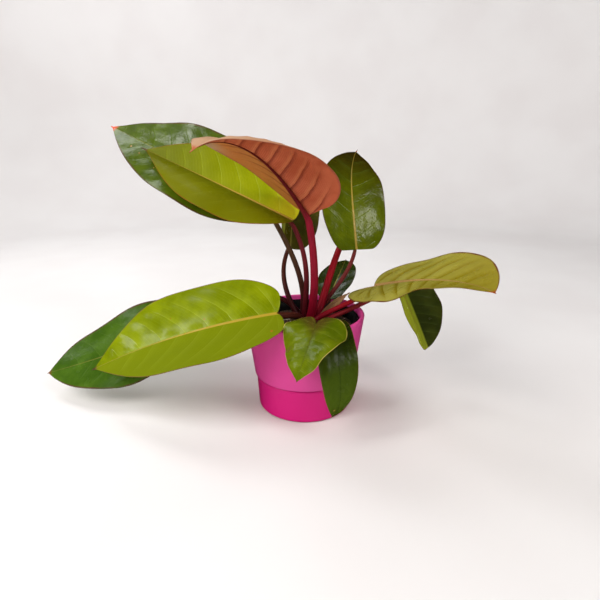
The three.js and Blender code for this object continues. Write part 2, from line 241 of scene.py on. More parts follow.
bladeDefaults = dict(
    sweep=0, droop=0, bend=1, roll=0, twist=0, lobe=8, lobeSkew=0, ear=0.4, wide=0.34, point=1.1,
    fold=8, foldSkew=0, cup=0, cupSkew=0, tipCup=0, tipSkew=0, wave=0, waves=2, wavePhase=0,
    tipHalf=0.8, needle=2, veins=8, quilt=0.25, quiltSkew=0, buckle=0.5, bucklePhase=0,
)
outline = dict(shoulder=0.3, tipSpeed=1.3, taperPower=1.1, rowPower=1.2, notchPower=6, sweepPower=1.6)
waveOffset = 1.9  # waves of the left margin against the right one, in radians
midribSteps = 24
veinRun = dict(lag=0.1, bow=0.14, fan=3, offset=0.35)  # lateral veins, and their fan in the lobes
relief = dict(
    panelPower=0.7, panelLevel=0.6, rib=(1.5, 9), margin=(0.75, 1), tip=(0.8, 1), base=(-0.02, 0.06),
    swellRib=(1, 12), swellBase=(-0.02, 0.1),
)
needle = dict(shares=(0.3, 0.65, 1), taper=0.85)  # fine point past the tip
plate = dict(
    rows=90, thickness=0.75, edgeThinning=0.35, thinFrom=0.6,
    columns=[0, 0.008, 0.018, 0.03, 0.045, 0.07, 0.11, 0.16, 0.22, 0.29, 0.36, 0.43, 0.5, 0.57, 0.64,
             0.71, 0.78, 0.84, 0.9, 0.95, 0.985, 1],
)


def smooth(value, low, high):
    x = np.clip((value - low) / (high - low), 0, 1)
    return x * x * (3 - 2 * x)


def bladeFrame(leaf, t):
    s = np.clip(t, 0, 1)
    heading = np.radians(leaf["heading"] + leaf["sweep"] * s)
    pitch = np.radians(leaf["rise"] - leaf["droop"] * s ** leaf["bend"])
    roll = np.radians(leaf["roll"] + leaf["twist"] * s)[..., None]
    along = np.stack([np.cos(pitch) * np.cos(heading), np.cos(pitch) * np.sin(heading), np.sin(pitch)], -1)
    level = np.stack([np.sin(heading), -np.cos(heading), np.zeros_like(heading)], -1)
    raised = np.cross(level, along)
    across = level * np.cos(roll) + raised * np.sin(roll)
    up = raised * np.cos(roll) - level * np.sin(roll)
    return along, across, up


def midribPoint(leaf, t):
    steps = (np.arange(midribSteps) + 0.5) / midribSteps
    along, _, _ = bladeFrame(leaf, t[..., None] * steps)
    return np.array(leaf["base"], float) + along.mean(-2) * (leaf["length"] * t)[..., None]


def planform(leaf, q, u, side):
    # flat place of a point: q runs along the margin, u from the midrib out to it
    half = leaf["width"] / 2
    lobe = leaf["lobe"] * (1 + side * leaf["lobeSkew"])
    widest = leaf["wide"] * leaf["length"]
    shoulder = outline["shoulder"]
    turn = np.clip(q / shoulder, 0, 1) * math.pi / 2
    r = np.clip((q - shoulder) / (1 - shoulder), 0, 1)
    lobeAlong = -lobe + (widest + lobe) * (1 - np.cos(turn))
    lobeAcross = leaf["ear"] * half + (1 - leaf["ear"]) * half * np.sin(turn)
    speed = outline["tipSpeed"]
    restAlong = widest + (leaf["length"] - widest) * r * (speed - (speed - 1) * r)
    taper = np.maximum(0, np.cos(r ** outline["taperPower"] * math.pi / 2))
    marginAlong = np.where(q < shoulder, lobeAlong, restAlong)
    marginAcross = np.where(q < shoulder, lobeAcross, half * taper ** leaf["point"])
    marginAcross = np.maximum(marginAcross, leaf["tipHalf"])
    start = leaf["length"] * q ** outline["rowPower"]
    notch = (1 - q) ** outline["notchPower"]
    turn = u * math.pi / 2
    outward = (1 - notch) * u ** outline["sweepPower"] + notch * np.sin(turn)
    sideways = (1 - notch) * u + notch * (1 - np.cos(turn))
    return start + (marginAlong - start) * outward, marginAcross * sideways


def veinPhase(leaf, t, a, side):
    # whole numbers lie on the lateral veins, which fan out in the basal lobes
    half = leaf["width"] / 2
    tiny = 1e-6
    lag = veinRun["lag"] * a + veinRun["bow"] * a * a
    w = t - lag
    angle = np.arctan2(a * half + tiny, t * leaf["length"])
    limit = np.arctan2(a * half + tiny, lag * leaf["length"] + tiny)
    fan = -veinRun["fan"] * (angle - limit) / (math.pi - limit)
    return np.where(w >= 0, w * leaf["veins"], fan) + (veinRun["offset"] if side > 0 else 0)


def bladeHalf(leaf, q, u, side):
    # side is 1 for the right half and -1 for the left
    half = leaf["width"] / 2
    along, across = planform(leaf, q, u, side)
    t = along / leaf["length"]
    a = across / half
    tip = np.clip(t, 0, 1) ** 2
    curl = leaf["cup"] + side * leaf["cupSkew"] + (leaf["tipCup"] + side * leaf["tipSkew"]) * tip
    curl = np.radians(curl)
    leastCurl = 1e-3
    curvature = np.where(np.abs(curl) < leastCurl, leastCurl, curl) / half
    fold = math.radians(leaf["fold"] + side * leaf["foldSkew"])
    angle = fold + curvature * across
    x = (np.sin(angle) - math.sin(fold)) / curvature
    z = (math.cos(fold) - np.cos(angle)) / curvature
    ripple = 2 * math.pi * leaf["waves"] * t + math.radians(leaf["wavePhase"])
    ripple = ripple + (0 if side > 0 else waveOffset)
    z = z + leaf["wave"] * a ** 2 * np.sin(ripple)
    phase = veinPhase(leaf, t, a, side)
    panel = np.abs(np.sin(math.pi * phase)) ** relief["panelPower"] - relief["panelLevel"]
    calm = smooth(across, *relief["rib"]) * (1 - smooth(u, *relief["margin"]))
    calm = calm * (1 - smooth(t, *relief["tip"])) * smooth(t, *relief["base"])
    z = z + leaf["quilt"] * (1 + side * leaf["quiltSkew"]) * panel * calm
    swell = np.sin(15 * t + 4 * a * side + leaf["bucklePhase"]) * np.sin(7 * a * side - 9 * t)
    z = z + leaf["buckle"] * swell * smooth(across, *relief["swellRib"]) * smooth(t, *relief["swellBase"])
    _, right, up = bladeFrame(leaf, t)
    points = midribPoint(leaf, t) + right * (side * x)[..., None] + up * z[..., None]
    return points, t, a * side, phase


def bladeGrid(leaf, rows, columns):
    # rows of points from base to tip, each from the left margin to the right one
    q, u = np.meshgrid(np.linspace(0, 1, rows + 1), columns, indexing="ij")
    left = [v[:, :0:-1] for v in bladeHalf(leaf, q, u, -1)]
    right = bladeHalf(leaf, q, u, 1)
    points, t, a, phase = [np.concatenate(pair, 1) for pair in zip(left, right)]
    edge = np.concatenate([u[:, :0:-1], u], 1)
    along, _, _ = bladeFrame(leaf, np.ones(1))
    middle = points[-1].mean(0)
    for share in needle["shares"]:
        narrowed = middle + (points[-1] - middle) * (1 - needle["taper"] * share)
        points = np.concatenate([points, (narrowed + along * leaf["needle"] * share)[None]])
        t, a, phase, edge = [np.concatenate([v, v[-1:]]) for v in (t, a, phase, edge)]
    return points, t, a, phase, edge


def gridNormals(points):
    lengthwise = np.gradient(points, axis=0)
    crosswise = np.gradient(points, axis=1)
    normal = np.cross(crosswise, lengthwise)
    return normal / np.maximum(np.linalg.norm(normal, axis=-1, keepdims=True), 1e-9)


def platePoints(grid, thickness):
    normal = gridNormals(grid)
    return np.concatenate([
        (grid + normal * thickness / 2).reshape(-1, 3),
        (grid - normal * thickness / 2).reshape(-1, 3),
    ])


def plateMap(first, second):
    # one pair per point, for the upper side and again for the under side
    pairs = np.stack([first.ravel(), second.ravel()], 1)
    return np.concatenate([pairs, pairs])


def plateFaces(rows, columns):
    # rows and columns of points; upper faces, then under faces, then the border
    upper, under, border = [], [], []
    count = rows * columns
    for i in range(rows - 1):
        for j in range(columns - 1):
            near = i * columns + j
            far = near + columns
            upper.append((near, near + 1, far + 1, far))
            under.append((near + count, far + count, far + 1 + count, near + 1 + count))
    loop = list(range(columns - 1))
    loop += [i * columns + columns - 1 for i in range(rows - 1)]
    loop += [(rows - 1) * columns + j for j in range(columns - 1, 0, -1)]
    loop += [i * columns for i in range(rows - 1, 0, -1)]
    for a, b in zip(loop, loop[1:] + loop[:1]):
        border.append((b, a, a + count, b + count))
    return upper, under, border


# leaf materials

faceGrain = dict(cloud=38, wander=60, edge=55, dull=70, skin=420, pucker=90)  # noise scales
backGrain = dict(cloud=30, wander=50, flecks=170, dull=60, skin=330)
wander = dict(face=0.16, back=0.22)  # how far veins stray from their even lines
threads = dict(face=6, back=9, backShow=0.14)  # fine veins between two lateral ones
faceRelief = dict(skin=0.2, vein=0.3, thread=0.06, depth=0.0004)  # shares of the depth, which is in m
backRelief = dict(skin=0.4, thread=0.3, depth=0.0005)
backShine = 0.2

# face and patch mottle the upper side; far is its tone towards the tip, near a painted highlight at the
# base of the right half, heart in the middle, and halfFace and halfDark in one half of a folded blade,
# where on folded_left they paint shade
# a name with Show is a strength, and one with Wide or Width a width in mm or a share
green = dict(
    slot="leaf_dark", face=(46, 62, 4), patch=(62, 80, 10), vein=(104, 134, 50), veinWidth=0.08,
    veinShow=0.13, pleatShadingShow=0.06, threadShow=0.05, rib=(150, 140, 60), ribWide=1.5, ribEnd=0.2,
    ribRaise=0.6, edge=(84, 52, 34), edgeWidth=0.03, edgeShow=0.8, tip=(120, 52, 26), tipFrom=0.975,
    gloss=0.24, shine=0.35, pucker=1.5, spot=(176, 128, 74), under=(96, 116, 34),
    underPatch=(110, 128, 44), underVein=(134, 148, 70), underVeinShow=0.3, underDark=(66, 82, 20),
    creaseShadeShow=0.3, underGloss=0.5,
)
lime = dict(
    green, slot="leaf_lime", face=(108, 124, 2), patch=(124, 138, 8), vein=(170, 184, 60), veinWidth=0.07,
    veinShow=0.35, pleatShadingShow=0.14, threadShow=0.07, rib=(172, 142, 34), ribWide=2, ribEnd=0.3,
    edge=(116, 72, 52), edgeWidth=0.016, tip=(84, 46, 40), tipFrom=0.965, gloss=0.28, shine=0.3, pucker=1,
    under=(150, 152, 44), underPatch=(164, 160, 60), underVein=(184, 180, 96), underDark=(112, 116, 26),
)
orange = dict(
    green, slot="leaf_orange", face=(188, 100, 54), patch=(204, 128, 78), far=(186, 148, 116),
    vein=(222, 176, 140), veinShow=0.3, rib=(176, 84, 60), ribWide=3.0, edge=(150, 78, 62),
    tip=(180, 100, 62), tipFrom=0.95, gloss=0.4, shine=0.2, under=(176, 80, 50), underPatch=(194, 98, 66),
    underVein=(216, 128, 84), underVeinShow=0.5, underDark=(120, 40, 24), creaseShadeShow=0.7, underGloss=0.42,
    underSide=(200, 122, 64), pale=(196, 160, 128),
)


def zigzag(value):
    # 1 at whole numbers and 0 halfway between them
    part = minus(calc("FRACT", value), 0.5)
    return times(calc("ABSOLUTE", part), 2)


def wanderingPhase(phase, coords, scale, reach):
    stray = minus(noise(coords, scale, 2), 0.5)
    return plus(phase, times(stray, reach))


def inside(edge, t, low, high):
    # 1 on the blade and 0 at its margin and tip
    return times(ramp(edge, low, high, 1, 0), ramp(t, 0.78, 0.97, 1, 0))


def addSpot(color, place, leaf, spot, tint):
    # spot is (t, share across, radius in mm)
    along, across, radius = spot
    half = leaf["width"] / 2
    spread = addNode(place, "VectorMath")
    spread.operation = "MULTIPLY"
    plug(place, spread.inputs[0])
    spread.inputs[1].default_value = (leaf["length"], half, 0)
    reach = addNode(place, "VectorMath")
    reach.operation = "DISTANCE"
    plug(spread.outputs[0], reach.inputs[0])
    reach.inputs[1].default_value = (along * leaf["length"], across * half, 0)
    mask = ramp(reach.outputs["Value"], radius * 0.4, radius, 0.9, 0)
    return mixColor(mask, color, tint)


def leafFace(name, look, leaf):
    # upper side of a blade: veins, midrib, margin, tip and spots over a mottled ground, with painted pleat
    # shading beside each vein
    material, shader = startMaterial(name)
    t, a, place = mapCoords(shader, "leafMap")
    phase, edge, _ = mapCoords(shader, "veinMap")
    coords = objectCoords(shader)
    away = calc("ABSOLUTE", a)
    cloud = noise(coords, faceGrain["cloud"], 4, 0.6)
    color = blend(cloud, 0.35, 0.68, look["face"], look["patch"])
    inner = inside(edge, t, 0.7, 0.97)
    if "far" in look:
        color = blend(t, 0.15, 0.95, color, look["far"])
    # one half of a folded blade in other tones; on folded_left these are painted shade on its left half,
    # darkest in the fold along the midrib
    if "halfFace" in look:  # darkest along the midrib, with faint veins
        ground = blend(away, 0.05, 0.5, look["halfDark"], look["halfFace"])
        shifted = plus(a, look.get("halfShift", 0))
        across = times(shifted, look.get("halfSide", -1))
        color = blend(across, -0.03, 0.03, color, ground)
        inner = times(inner, ramp(across, -0.03, 0.03, 1, 0.3))
    # painted light: near lightens the base of the right half
    if "near" in look:
        glow = times(ramp(t, 0.04, 0.2, 1, 0), ramp(a, 0, 0.04))
        color = mixColor(glow, color, look["near"])
    if "heart" in look:
        near = plus(times(t, 1.3), away)
        color = mixColor(ramp(near, 0.05, look["heartReach"], 0.85, 0), color, look["heart"])

    path = wanderingPhase(phase, coords, faceGrain["wander"], wander["face"])
    # painted pleat shading: a band of the vein tone on one side of each vein, a painted highlight where
    # that tone is paler than the ground and painted shade where it is darker
    band = times(ramp(calc("FRACT", path), 0.55, 1), inner)
    color = mixColor(times(band, look["pleatShadingShow"]), color, look["vein"])
    vein = times(ramp(zigzag(path), 1 - look["veinWidth"], 1), inner)
    color = mixColor(times(vein, look["veinShow"]), color, look["vein"])
    fine = zigzag(times(path, threads["face"]))
    thread = times(ramp(fine, 0.7, 1), inner)
    color = mixColor(times(thread, look["threadShow"]), color, look["vein"])

    half = leaf["width"] / 2
    ribEdge = ramp(t, -0.05, 0.9, look["ribWide"] / half, 0.5 / half)
    ribMask = ramp(calc("DIVIDE", away, ribEdge), 0.7, 1.2, 1, 0)
    ribTint = times(ribMask, ramp(t, 0.25, 1.0, 1, look["ribEnd"]))
    color = mixColor(ribTint, color, look["rib"])
    broken = ramp(noise(coords, faceGrain["edge"], 2), 0.3, 0.6, 0.35, 1)
    margin = ramp(edge, 1 - look["edgeWidth"], 1 - look["edgeWidth"] / 2)
    margin = times(margin, times(broken, look["edgeShow"]))
    color = mixColor(margin, color, look["edge"])
    color = blend(t, look["tipFrom"], look["tipFrom"] + 0.03, color, look["tip"])
    for spot in look.get("spots", ()):
        color = addSpot(color, place, leaf, spot, look["spot"])

    wear = noise(coords, faceGrain["dull"])
    dull = ramp(wear, 0.3, 0.7, look["gloss"] - 0.02, look["gloss"] + 0.04)
    if "leftDull" in look:  # the left half is less glossy
        dull = plus(dull, ramp(a, -0.04, 0.02, look["leftDull"], 0))
    height = times(noise(coords, faceGrain["skin"], 2), faceRelief["skin"])
    height = minus(height, times(vein, faceRelief["vein"]))
    height = minus(height, times(thread, faceRelief["thread"]))
    height = plus(height, times(ribMask, look["ribRaise"]))
    pucker = noise(coords, faceGrain["pucker"])
    height = plus(height, times(pucker, look["pucker"]))
    finishSkin(shader, color, dull, look["shine"], height, faceRelief["depth"])
    return material


def leafBack(name, look):
    # matte underside with raised veins, painted shade in the crease on one side of each vein and a painted
    # highlight on the other
    material, shader = startMaterial(name)
    t, a, _ = mapCoords(shader, "leafMap")
    phase, edge, _ = mapCoords(shader, "veinMap")
    coords = objectCoords(shader)
    away = calc("ABSOLUTE", a)
    cloud = noise(coords, backGrain["cloud"], 4, 0.6)
    color = blend(cloud, 0.35, 0.66, look["under"], look["underPatch"])
    if "underSide" in look:  # the right half has another tone
        color = blend(a, -0.04, 0.04, color, look["underSide"])

    inner = inside(edge, t, 0.6, 0.95)
    path = wanderingPhase(phase, coords, backGrain["wander"], wander["back"])
    step = calc("FRACT", path)
    # painted shade on one side of each vein crease; glow spreads the vein tone on the other side, partly
    # the paler vein and partly a painted highlight
    shade = times(ramp(step, 0.72, 0.98), ramp(step, 0.98, 1, 1, 0.6))
    glow = times(ramp(step, 0.02, 0.1), ramp(step, 0.1, 0.4, 1, 0))
    reach = times(ramp(away, 0.3, 0.85, 1, 0.25), inner)
    crease = times(shade, reach)
    glow = times(times(glow, reach), look["underVeinShow"])
    color = mixColor(glow, color, look["underVein"])
    color = mixColor(times(crease, look["creaseShadeShow"]), color, look["underDark"])
    fine = zigzag(times(path, threads["back"]))
    thread = times(ramp(fine, 0.5, 1), inner)
    color = mixColor(times(thread, threads["backShow"]), color, look["underDark"])

    color = mixColor(times(ramp(edge, 0.95, 1), 0.7), color, look["edge"])
    if "pale" in look:  # the margin pales towards the tip
        paling = times(ramp(t, 0.45, 0.75), ramp(edge, 0.72, 0.95))
        color = mixColor(paling, color, look["pale"])
    if "flecks" in look:
        dots = ramp(noise(coords, backGrain["flecks"], 1), 0.64, 0.7)
        color = mixColor(times(dots, 0.75), color, look["flecks"])
    color = blend(t, look["tipFrom"], look["tipFrom"] + 0.03, color, look["tip"])

    wear = noise(coords, backGrain["dull"])
    dull = ramp(wear, 0.3, 0.7, look["underGloss"], look["underGloss"] + 0.12)
    height = minus(times(thread, backRelief["thread"]), crease)
    skin = noise(coords, backGrain["skin"], 2)
    height = plus(height, times(skin, backRelief["skin"]))
    finishSkin(shader, color, dull, backShine, height, backRelief["depth"])
    return material


# stalk material
# low, high and rib are the tones near the crown, near the blade and under it

redStalk = dict(
    slot="stalk_red", low=(106, 5, 24), high=(160, 20, 34), streak=(82, 6, 20), rib=(104, 26, 28),
    fadeFrom=0.0, fadeTo=0.6, gloss=0.3,
)
brownStalk = dict(
    slot="stalk_brown", low=(58, 16, 18), high=(84, 40, 28), streak=(40, 16, 10), rib=(110, 86, 50),
    fadeFrom=0.1, fadeTo=0.8, gloss=0.34,
)
streaks = dict(around=1.6, along=0.035, scale=2.2, depth=0.0003, shine=0.12)


def stalkSkin(name, look):
    material, shader = startMaterial(name)
    cosine, sine, _ = mapCoords(shader, "roundMap")
    share, length, _ = mapCoords(shader, "stalkMap")
    place = addNode(shader, "CombineXYZ")
    plug(times(cosine, streaks["around"]), place.inputs[0])
    plug(times(sine, streaks["around"]), place.inputs[1])
    plug(times(length, streaks["along"]), place.inputs[2])
    streak = noise(place.outputs[0], streaks["scale"], 4, 0.6)
    color = blend(share, look["fadeFrom"], look["fadeTo"], look["low"], look["high"])
    color = blend(share, 0.86, 0.92, color, look["rib"])
    color = mixColor(ramp(streak, 0.42, 0.75, 0, 0.6), color, look["streak"])
    dull = ramp(streak, 0.3, 0.7, look["gloss"], look["gloss"] + 0.12)
    finishSkin(shader, color, dull, streaks["shine"], streak, streaks["depth"])
    return material


# stalk shape

# seat lowers the stalk's end under the blade, and ribFade thins the ridge towards the tip
stalkDefaults = dict(seat=0.4, ribFade=1.6)
stalk = dict(steps=44, end=0.955, ribFrom=0.045, ribTo=0.95, ribSteps=46, bridge=9, sides=18)
stalkWidth = dict(foot=1.15, loss=0.3, flare=0.3, flareLength=0.05, rib=0.6, least=0.3)
groove = dict(count=5, depth=0.03, turn=0.02)  # shallow ribs round a stalk, and their turn per mm


def stalkLine(leaf, petiole):
    # centre line and radius from the crown to the blade, then under the midrib to the tip
    thick = petiole["radius"]
    along, across, up = [v[0] for v in bladeFrame(leaf, np.zeros(1))]
    base = np.array(leaf["base"], float)
    neck = np.array(petiole["neck"], float)
    arriving = (base - neck) / np.linalg.norm(base - neck)
    lean = math.hypot(arriving @ along, arriving @ across)
    drop = thick * 0.85 * lean + 0.5 + petiole["seat"]
    foot, knee = np.array(petiole["foot"], float), np.array(petiole["knee"], float)
    s = np.linspace(0, stalk["end"], stalk["steps"])[:, None]
    line = foot * (1 - s) ** 3 + knee * 3 * s * (1 - s) ** 2
    line = line + neck * 3 * s * s * (1 - s) + (base - up * drop) * s ** 3
    s = s[:, 0]
    flare = 1 + stalkWidth["flare"] * np.exp(-s / stalkWidth["flareLength"])
    radius = thick * (stalkWidth["foot"] - stalkWidth["loss"] * s) * flare

    t = np.linspace(stalk["ribFrom"], stalk["ribTo"], stalk["ribSteps"])
    ribRadius = thick * stalkWidth["rib"] * (1 - t) ** petiole["ribFade"] + stalkWidth["least"]
    _, _, ups = bladeFrame(leaf, t)
    rib = midribPoint(leaf, t) - ups * (ribRadius * 1.05)[:, None]

    start, end = line[-1], rib[0]  # a smooth bridge from the stalk to the rib
    span = np.linalg.norm(end - start)
    leave = (line[-1] - line[-2]) / np.linalg.norm(line[-1] - line[-2])
    join = (rib[1] - rib[0]) / np.linalg.norm(rib[1] - rib[0])
    h = np.linspace(0, 1, stalk["bridge"])[1:-1, None]
    bridge = (2 * h ** 3 - 3 * h ** 2 + 1) * start + (h ** 3 - 2 * h ** 2 + h) * leave * span
    bridge = bridge + (-2 * h ** 3 + 3 * h ** 2) * end + (h ** 3 - h ** 2) * join * span
    bridgeRadius = radius[-1] + (ribRadius[0] - radius[-1]) * h[:, 0]
    # stalkSkin changes tone on the bridge
    share = np.concatenate([s * 0.9, 0.86 + h[:, 0] * 0.04, 0.9 + 0.1 * t])
    return np.concatenate([line, bridge, rib]), np.concatenate([radius, bridgeRadius, ribRadius]), share


def tubeMesh(name, line, radius, share, material):
    points, pairs, turns = [], [], []
    sides = stalk["sides"]
    side = np.array([1.0, 0.0, 0.0])
    ahead = np.gradient(line, axis=0)
    ahead = ahead / np.linalg.norm(ahead, axis=1, keepdims=True)
    length = np.concatenate([[0], np.cumsum(np.linalg.norm(np.diff(line, axis=0), axis=1))])
    rings = []
    for i, centre in enumerate(line):
        side = side - ahead[i] * (side @ ahead[i])
        side = side / np.linalg.norm(side)
        other = np.cross(ahead[i], side)
        rings.append(range(len(points), len(points) + sides))
        for k in range(sides):
            angle = 2 * math.pi * k / sides
            ribbed = 1 + groove["depth"] * math.sin(groove["count"] * angle + groove["turn"] * length[i])
            points.append(centre + (side * math.cos(angle) + other * math.sin(angle)) * radius[i] * ribbed)
            pairs.append((share[i], length[i]))
            turns.append((math.cos(angle), math.sin(angle)))
    return addMesh(name, points, tubeFaces(rings), [material], {"stalkMap": pairs, "roundMap": turns})


# one leaf: blade and stalk

def makeLeaf(name, piece):
    leaf = {**bladeDefaults, **piece["blade"]}
    points, t, a, phase, edge = bladeGrid(leaf, plate["rows"], np.array(plate["columns"]))
    thickness = plate["thickness"] - plate["edgeThinning"] * smooth(edge, plate["thinFrom"], 1)
    both = platePoints(points, thickness[..., None])
    upper, under, border = plateFaces(*points.shape[:2])
    face = leafFace(name + "_upper", piece["look"], leaf)
    back = leafBack(name + "_under", piece["look"])
    bladePiece = addMesh(
        name + "_leaf", both, upper + under + border, [face, back],
        {"leafMap": plateMap(t, a), "veinMap": plateMap(phase, edge)},
        [0] * len(upper) + [1] * len(under) + [0] * len(border),
    )
    settle(bladePiece, piece["look"]["slot"], name + "_blade")
    line, radius, share = stalkLine(leaf, {**stalkDefaults, **piece["petiole"]})
    skin = stalkSkin(name + "_skin", piece["stalkLook"])
    stalkPiece = tubeMesh(name + "_stalk", line, radius, share, skin)
    settle(stalkPiece, piece["stalkLook"]["slot"], name + "_petiole")


# the leaves; foot, knee and neck lead a stalk from the crown to its blade

highLeft = dict(
    blade=dict(
        base=[-49, 38, 241], heading=162, sweep=-6, rise=22, roll=53, twist=-12, length=228, width=110,
        ear=0.37, foldSkew=-1.6, cup=1.4, cupSkew=4.5, tipCup=5, tipSkew=-9, wave=3, waves=2.2, quilt=0.5,
    ),
    petiole=dict(foot=[-4, 7, 104], knee=[8, 15, 150], neck=[-26, 23, 202], radius=3.1),
    look=dict(
        green, face=(60, 78, 2), patch=(78, 96, 10), tip=(214, 70, 20), tipFrom=0.955, shine=0.42,
        edgeWidth=0.045, spots=((0.80, -0.26, 1.6), (0.73, -0.33, 1.2), (0.6, -0.5, 1.0)),
    ),
    stalkLook=dict(brownStalk, high=(100, 76, 50)),
)
makeLeaf("high_left", highLeft)

foldedLeft = dict(
    blade=dict(
        base=[-15, 4, 222.2], heading=158.7, sweep=-1.5, rise=22.4, droop=1.9, roll=29.8, twist=21.9,
        length=209.8, width=96.9, lobe=2.8, ear=0.13, point=1.3, fold=28.5, foldSkew=-8, cup=-31.1,
        cupSkew=18.2, tipCup=-6.9, tipSkew=11.3, wave=2, needle=4, quilt=0.05, buckle=0.3,
    ),
    petiole=dict(foot=[-1, 1, 104], knee=[2, 0, 140], neck=[8, 3, 177], radius=3),
    # halfFace and halfDark paint shade on the left half, darkest in the fold along the midrib, and near
    # paints light on the base of the right half
    look=dict(
        lime, face=(128, 136, 4), patch=(140, 146, 12), far=(96, 102, 2), halfFace=(102, 104, 3),
        halfDark=(86, 88, 4), near=(190, 186, 30), edge=(140, 64, 32), rib=(168, 136, 56), shine=0.04,
        veinShow=0.2, pleatShadingShow=0.06, pucker=0.5,
    ),
    stalkLook=dict(brownStalk, low=(76, 16, 22), high=(112, 32, 40)),
)
makeLeaf("folded_left", foldedLeft)

newOrange = dict(
    blade=dict(
        base=[4, -20.2, 230], heading=209.7, sweep=29.9, rise=52.4, droop=79.2, bend=1.82, roll=-23.1,
        twist=16, length=169, width=113.8, lobe=-1, lobeSkew=-0.63, ear=0.39, wide=0.25, fold=27.8,
        foldSkew=9.7, cup=-19.1, cupSkew=2.1, tipCup=-122, tipSkew=3, needle=3, quilt=-0.8, veins=9,
        buckle=0.2,
    ),
    petiole=dict(
        foot=[5, -3, 104], knee=[13, -8, 130], neck=[12, -20, 186], radius=4.4, seat=-1.3, ribFade=2,
    ),
    look=orange,
    stalkLook=dict(redStalk, high=(140, 22, 44)),
)
makeLeaf("new_orange", newOrange)

bigLeft = dict(
    blade=dict(
        base=[-32, -43, 128], heading=179, sweep=-6, rise=-10, droop=18, roll=37, twist=7, length=228,
        width=102, lobeSkew=-0.15, ear=0.39, wide=0.38, point=1.2, fold=11, foldSkew=0.7, cup=10,
        cupSkew=3.4, tipCup=2, wave=2.5, quilt=0.7, quiltSkew=0.7, buckle=0.3,
    ),
    petiole=dict(foot=[-3, -7, 104], knee=[-6, -14, 120], neck=[-16, -32, 121], radius=4),
    look=dict(
        lime, face=(104, 118, 2), halfFace=(102, 114, 0), halfDark=(106, 118, 0), rib=(164, 140, 40),
        ribWide=1.9, veinShow=0.24, shine=0.12, gloss=0.15, leftDull=0.8, pucker=0.1,
        spots=((0.35, 0.22, 1.2), (0.02, -0.5, 2), (-0.01, -0.62, 1.5), (0.52, 0.45, 0.9)),
        spot=(150, 92, 20),
    ),
    stalkLook=brownStalk,
)
makeLeaf("big_left", bigLeft)

lowLeft = dict(
    blade=dict(
        base=[-98, 36, 108], heading=190, sweep=-9, rise=-26, droop=-10, bend=0.5, roll=28, twist=12,
        length=242, width=112, ear=0.36, wide=0.4, point=0.88, fold=2, cup=8, cupSkew=4, wave=4.5,
        waves=2.1, wavePhase=87,
    ),
    petiole=dict(foot=[-3, 9, 104], knee=[-30, 24, 145], neck=[-68, 33, 122], radius=2.8),
    look=dict(
        green, face=(52, 82, 12), patch=(68, 98, 22), edge=(86, 52, 44), edgeWidth=0.045, shine=0.12,
    ),
    stalkLook=brownStalk,
)
makeLeaf("low_left", lowLeft)

frontHeart = dict(
    blade=dict(
        base=[10.6, -65.2, 122.6], heading=-99.5, sweep=-27.6, rise=-9.4, droop=54.2, roll=-4.5,
        twist=-17.5, length=67.9, width=67.3, lobe=15.9, lobeSkew=0.15, ear=0.235, wide=0.138, point=0.93,
        fold=7.7, foldSkew=1.8, cup=-21.9, cupSkew=-5.5, wave=5.85, waves=1.227, wavePhase=80, veins=6,
        quilt=0.35, buckle=0.9, bucklePhase=1, needle=0.6,
    ),
    petiole=dict(foot=[3, -9, 104], knee=[5, -28, 118], neck=[8, -45, 119], radius=2.6),
    look=dict(
        lime, slot="leaf_heart", face=(72, 88, 2), patch=(92, 106, 6), heart=(72, 56, 20), heartReach=0.6,
        ribWide=0.5, edge=(180, 160, 80), edgeWidth=0.03, rib=(76, 80, 16), tip=(96, 80, 30), shine=0.14,
        gloss=0.2, pucker=0.4, veinShow=0.08, pleatShadingShow=0.05,
    ),
    stalkLook=redStalk,
)
makeLeaf("front_heart", frontHeart)

rimHanging = dict(
    blade=dict(
        base=[33.2, -41.9, 120.4], heading=-98.4, sweep=36.5, rise=5.6, droop=143, bend=1.1, roll=6.8,
        twist=-8.4, length=135.4, width=41.5, lobe=5, ear=0.37, wide=0.447, point=1.16, fold=3.8,
        foldSkew=1.7, cup=-14.6, wave=1.2,
    ),
    petiole=dict(foot=[11, -9, 104], knee=[16, -22, 110], neck=[31, -28, 115], radius=2.6),
    look=dict(
        green, face=(28, 38, 2), patch=(42, 54, 6), edge=(130, 96, 50), ribWide=0.6, rib=(46, 60, 14),
        far=(72, 92, 16), veinShow=0.05, pleatShadingShow=0.02, tip=(196, 140, 90), shine=0.2,
        spots=((0.86, 0.2, 1.5),),
    ),
    stalkLook=brownStalk,
)
makeLeaf("rim_hanging", rimHanging)

limeRight = dict(
    blade=dict(
        base=[81.6, 2.9, 145.9], heading=-39.9, sweep=-43.6, rise=19.2, droop=17.4, bend=1.39, roll=-14.8,
        twist=6.6, length=171, width=94, lobe=15.6, lobeSkew=0.84, ear=0.275, wide=0.407, point=1.01,
        fold=11.5, foldSkew=-1.7, cup=-19, cupSkew=-13.6, tipCup=60, tipSkew=-12, wave=1.5, quilt=0.9,
    ),
    petiole=dict(foot=[9, -8, 104], knee=[16, -12, 117], neck=[54, 8, 122], radius=2.9),
    # the dark vein tone, spread as a wide band beside each vein, is painted shade in the pleats
    look=dict(
        lime, slot="leaf_olive", face=(144, 138, 52), patch=(154, 148, 62), far=(132, 120, 30),
        vein=(120, 106, 0), veinShow=0.7, pleatShadingShow=0.95, rib=(164, 128, 76), ribWide=4.2, ribEnd=0.7,
        edge=(96, 44, 24), edgeShow=1, edgeWidth=0.04, tip=(150, 70, 20),
    ),
    stalkLook=dict(redStalk, low=(76, 4, 16), fadeTo=0.75),
)
makeLeaf("lime_right", limeRight)

